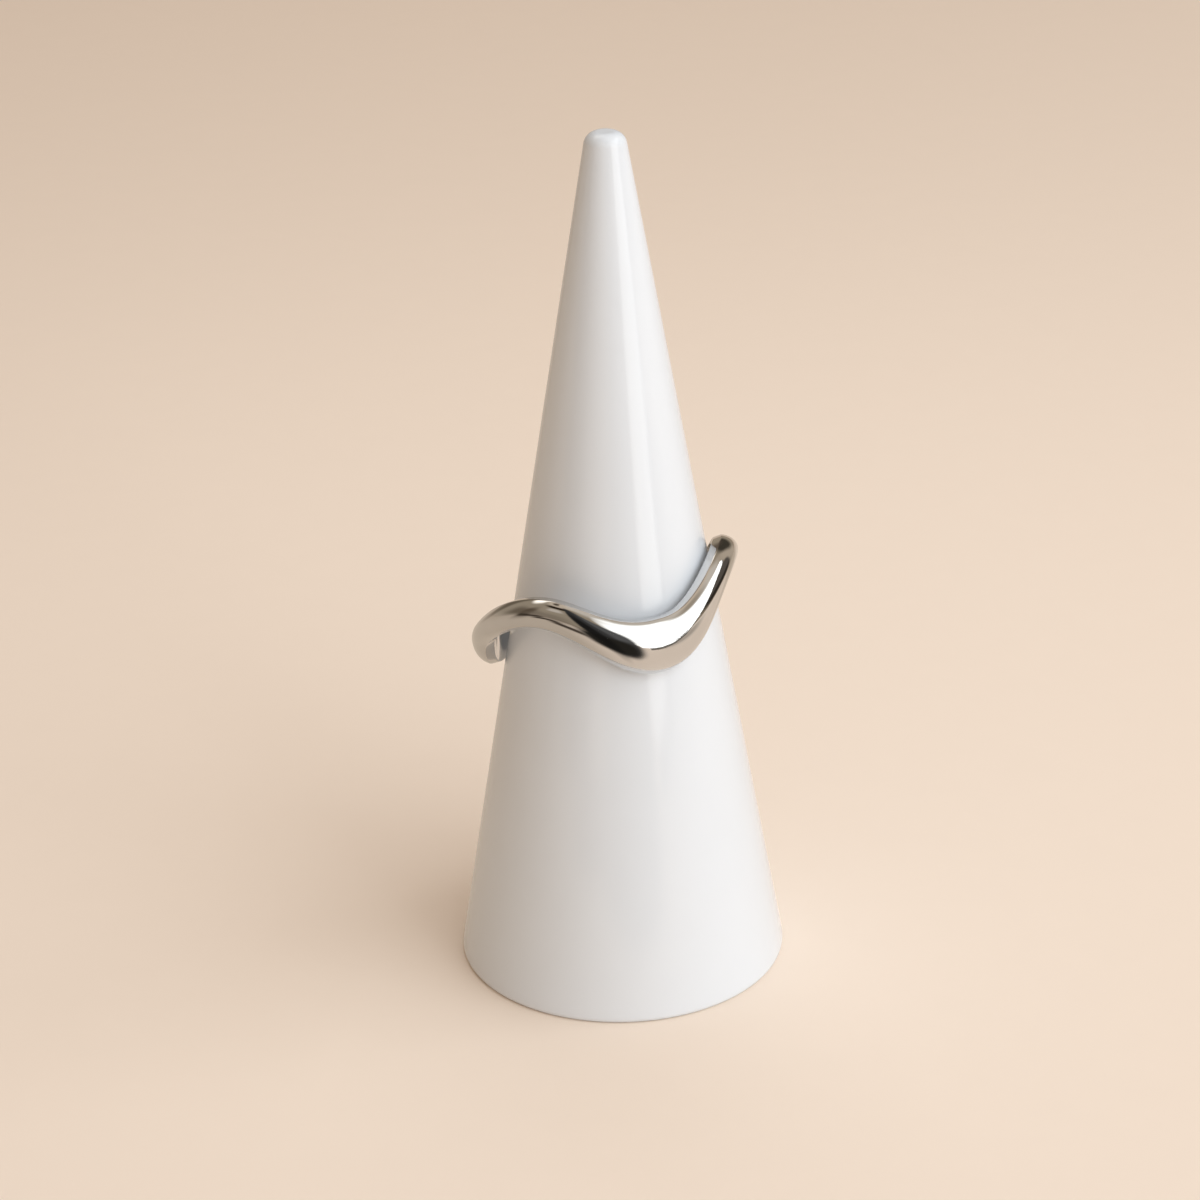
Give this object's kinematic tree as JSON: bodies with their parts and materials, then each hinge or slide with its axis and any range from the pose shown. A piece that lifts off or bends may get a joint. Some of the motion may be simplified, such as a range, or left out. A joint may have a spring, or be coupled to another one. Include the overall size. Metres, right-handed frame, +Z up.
{
  "type": "wave ring on a ring cone",
  "caption": "Polished metal finger ring bent into a wave, broad at its front dip and slim at its shoulders, resting on a plain glossy white display cone.",
  "frame": {"origin": "on the cone's axis, in the plane of its foot", "axes": "+Z up along the cone's axis; -Y is the front, where the ring dips; +X is to the viewer's right"},
  "size_m": [0.028, 0.028, 0.0736],
  "materials": {
    "polished_metal": "mirror-polished silver with fine handling scratches",
    "glossy_white": "smooth glossy white"
  },
  "bodies": {
    "root": {"wave_ring": "polished_metal", "ring_cone": "glossy_white"}
  },
  "joints": []
}
